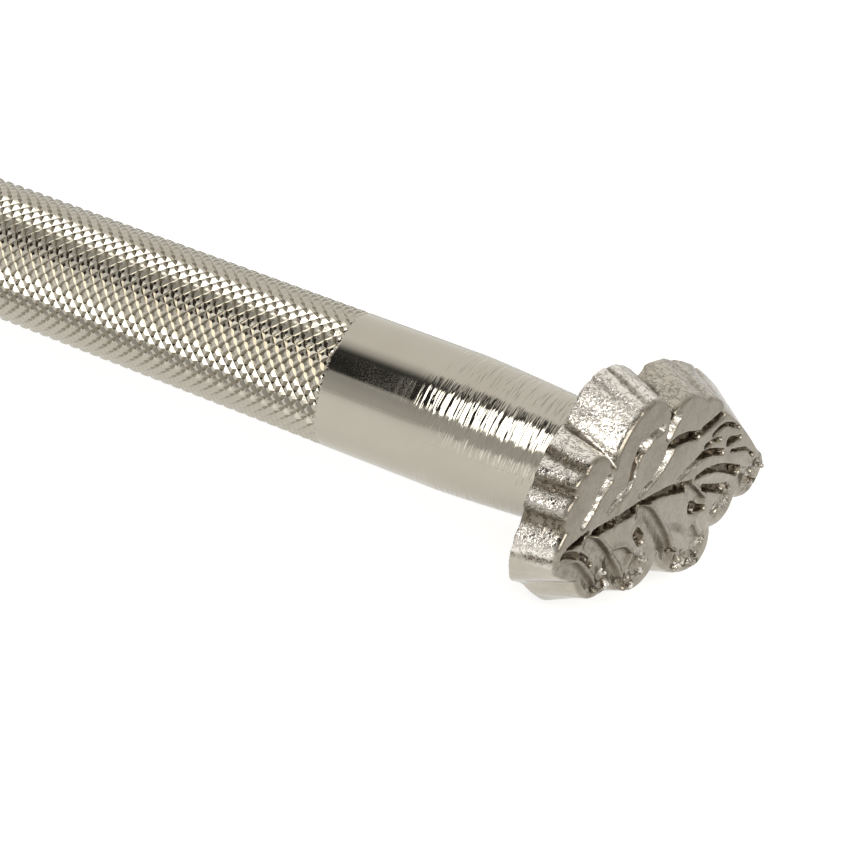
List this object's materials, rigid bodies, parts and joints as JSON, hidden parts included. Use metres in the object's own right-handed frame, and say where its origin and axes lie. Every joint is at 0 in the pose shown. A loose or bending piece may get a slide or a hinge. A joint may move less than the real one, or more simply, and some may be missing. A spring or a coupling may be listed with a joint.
{
  "type": "leather stamping tool",
  "caption": "Hand stamp for leather: a round steel shank with a knurled grip and a plain neck, carrying a cast leaf-shaped head with veins in its stamping face.",
  "frame": {"origin": "centre of the striking end's flat face", "axes": "+X along the shank towards the stamping face, +Y along the leaf's midrib seen down the shank, +Z across the leaf"},
  "size_m": [0.1111, 0.0168, 0.0109],
  "materials": {
    "plated_bar": "bright nickel plate, knurled grip and polished neck",
    "filler": "plated braze, satin",
    "plated_casting": "nickel plate over a rough casting"
  },
  "bodies": {
    "root": {"shank": "plated_bar", "braze_joint": "filler", "stamp_head": "plated_casting"}
  },
  "joints": []
}
